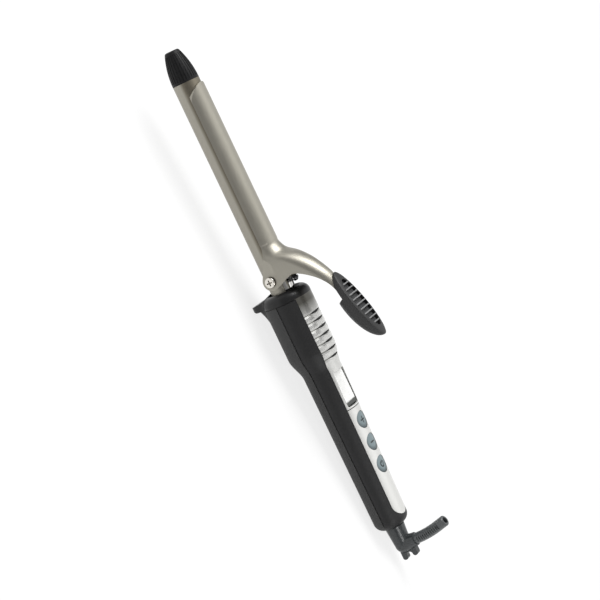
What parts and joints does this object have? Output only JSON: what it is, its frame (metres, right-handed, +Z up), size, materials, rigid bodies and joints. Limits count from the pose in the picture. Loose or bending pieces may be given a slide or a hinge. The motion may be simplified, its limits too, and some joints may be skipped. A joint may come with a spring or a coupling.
{
  "type": "curling iron",
  "caption": "Slim curling iron with a sprung clamp, thumb rest, stand collar, display and buttons on a silver panel, swivel cord neck and hanging hook.",
  "frame": {"origin": "centre of the stand foot's flat face, on the table", "axes": "+X from cool tip to cord end, level; +Y across the tool; +Z up from the table, control panel upward"},
  "size_m": [0.3792, 0.036, 0.0782],
  "materials": {
    "champagne_metal": "satin champagne coating",
    "black_plastic": "fine matt black",
    "soft_black_plastic": "soft-touch black",
    "black_rubber": "matt",
    "white_ceramic": "fired ceramic",
    "bare_aluminium": "bare",
    "glass_bead": "sealed bead",
    "bright_chrome": "polished",
    "brown_insulation": "moulded resin",
    "dull_steel": "plain",
    "spring_steel": "dark oiled",
    "silver_plastic": "silver lacquer",
    "gloss_black": "gloss",
    "clear_lens": "polished",
    "lcd_glass": "polished",
    "white_plastic": "diffusing",
    "green_laminate": "solder mask",
    "grey_plastic": "moulded",
    "yellow_plastic": "moulded box",
    "lead_insulation": "silicone",
    "brass": "plain",
    "slate_plastic": "satin"
  },
  "bodies": {
    "handle": {"barrel_tube": "champagne_metal", "cool_tip": "black_plastic", "hinge_bracket": "champagne_metal", "neck_tube": "bright_chrome", "neck_bush": "brown_insulation", "heater_plate": "white_ceramic", "upper_heat_spreader": "bare_aluminium", "lower_heat_spreader": "bare_aluminium", "temperature_sensor": "glass_bead", "pivot_screws": "bright_chrome", "spring_bracket": "dull_steel", "spring_pin": "dull_steel", "return_spring": "spring_steel", "collar_stand": "black_plastic", "front_shell": "black_plastic", "back_shell": "soft_black_plastic", "grip_panel": "silver_plastic", "button_panel": "silver_plastic", "display_frame": "gloss_black", "display_lens": "clear_lens", "lcd_glass": "lcd_glass", "backlight_block": "white_plastic", "control_board": "green_laminate", "switch_housings": "grey_plastic", "triac": "black_plastic", "filter_capacitor": "yellow_plastic", "board_screws": "dull_steel", "shell_screws": "dull_steel", "heater_leads": "lead_insulation", "mains_leads": "lead_insulation", "brush_block": "brown_insulation", "contact_springs": "brass"},
    "clamp": {"clamp": "champagne_metal", "thumb_rest": "black_plastic"},
    "plus_button": {"plus_button": "slate_plastic", "plus_plunger": "grey_plastic"},
    "minus_button": {"minus_button": "slate_plastic", "minus_plunger": "grey_plastic"},
    "power_button": {"power_button": "slate_plastic", "power_plunger": "grey_plastic"},
    "swivel": {"swivel_neck": "black_plastic", "slip_rings": "brass", "cord_boot": "black_rubber", "hang_hook": "black_plastic"}
  },
  "joints": [
    {"name": "clamp_hinge", "type": "hinge", "parent": "handle", "child": "clamp", "pos_m": [-0.01204, 0, 0.02677], "axis": [0, 1, 0], "range_deg": [0, 24], "stiffness_Nm_per_rad": 0.6, "springref_deg": -24.06, "deforming": ["return_spring"]},
    {"name": "plus_press", "type": "slide", "parent": "handle", "child": "plus_button", "axis": [-0.0746, 0, -0.9972], "range_m": [0, 0.0005], "stiffness_N_per_m": 800, "springref_m": -0.0005},
    {"name": "minus_press", "type": "slide", "parent": "handle", "child": "minus_button", "axis": [-0.0746, 0, -0.9972], "range_m": [0, 0.0005], "stiffness_N_per_m": 800, "springref_m": -0.0005},
    {"name": "power_press", "type": "slide", "parent": "handle", "child": "power_button", "axis": [-0.0746, 0, -0.9972], "range_m": [0, 0.0005], "stiffness_N_per_m": 800, "springref_m": -0.0005},
    {"name": "cord_swivel", "type": "hinge", "parent": "handle", "child": "swivel", "pos_m": [0.17534, 0, 0.01134], "axis": [0.9972, 0, -0.0746], "continuous": true}
  ]
}
